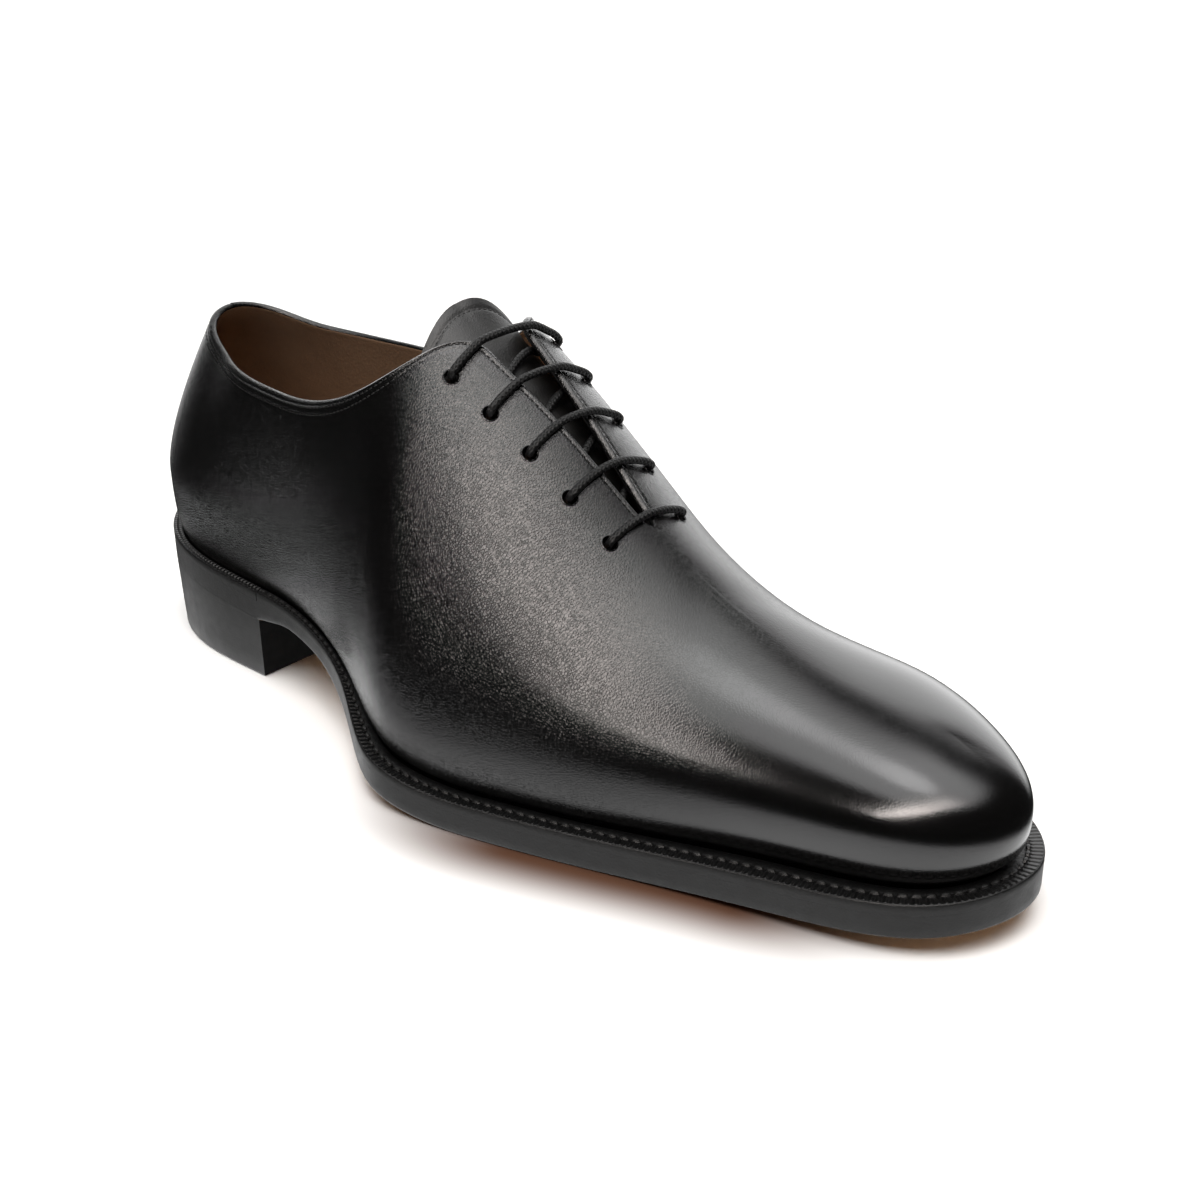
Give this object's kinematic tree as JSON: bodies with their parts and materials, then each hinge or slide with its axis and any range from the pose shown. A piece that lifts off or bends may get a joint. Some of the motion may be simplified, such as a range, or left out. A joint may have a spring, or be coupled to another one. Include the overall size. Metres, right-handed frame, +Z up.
{
  "type": "plain-toe oxford shoe",
  "caption": "Right plain-toe oxford dress shoe in black leather: one-piece upper open at collar and throat, tongue, straight-bar lace, welted leather sole and low stacked heel.",
  "frame": {"origin": "on the floor, under the middle of the sole's plan", "axes": "+X to the toe, +Y to the medial side, +Z up"},
  "size_m": [0.3032, 0.1074, 0.119],
  "materials": {
    "sole_leather": "firm sole leather, edge dyed black and waxed to a satin, under face left tan",
    "heel_leather": "stacked leather lifts, edge dyed black and waxed smooth",
    "welt_leather": "black welt leather, satin, with wheeled stitch marks on top",
    "insole_leather": "tan lining leather, matt",
    "calf_leather": "black box calf, fine grain, polished to a gloss at the toe",
    "tongue_leather": "soft black calf, satin",
    "waxed_cotton": "round woven lace, lightly waxed"
  },
  "bodies": {
    "root": {"outsole": "sole_leather", "heel": "heel_leather", "welt": "welt_leather", "heel_rand": "welt_leather", "insole": "insole_leather", "upper": "calf_leather", "tongue": "tongue_leather", "lace": "waxed_cotton"}
  },
  "joints": []
}
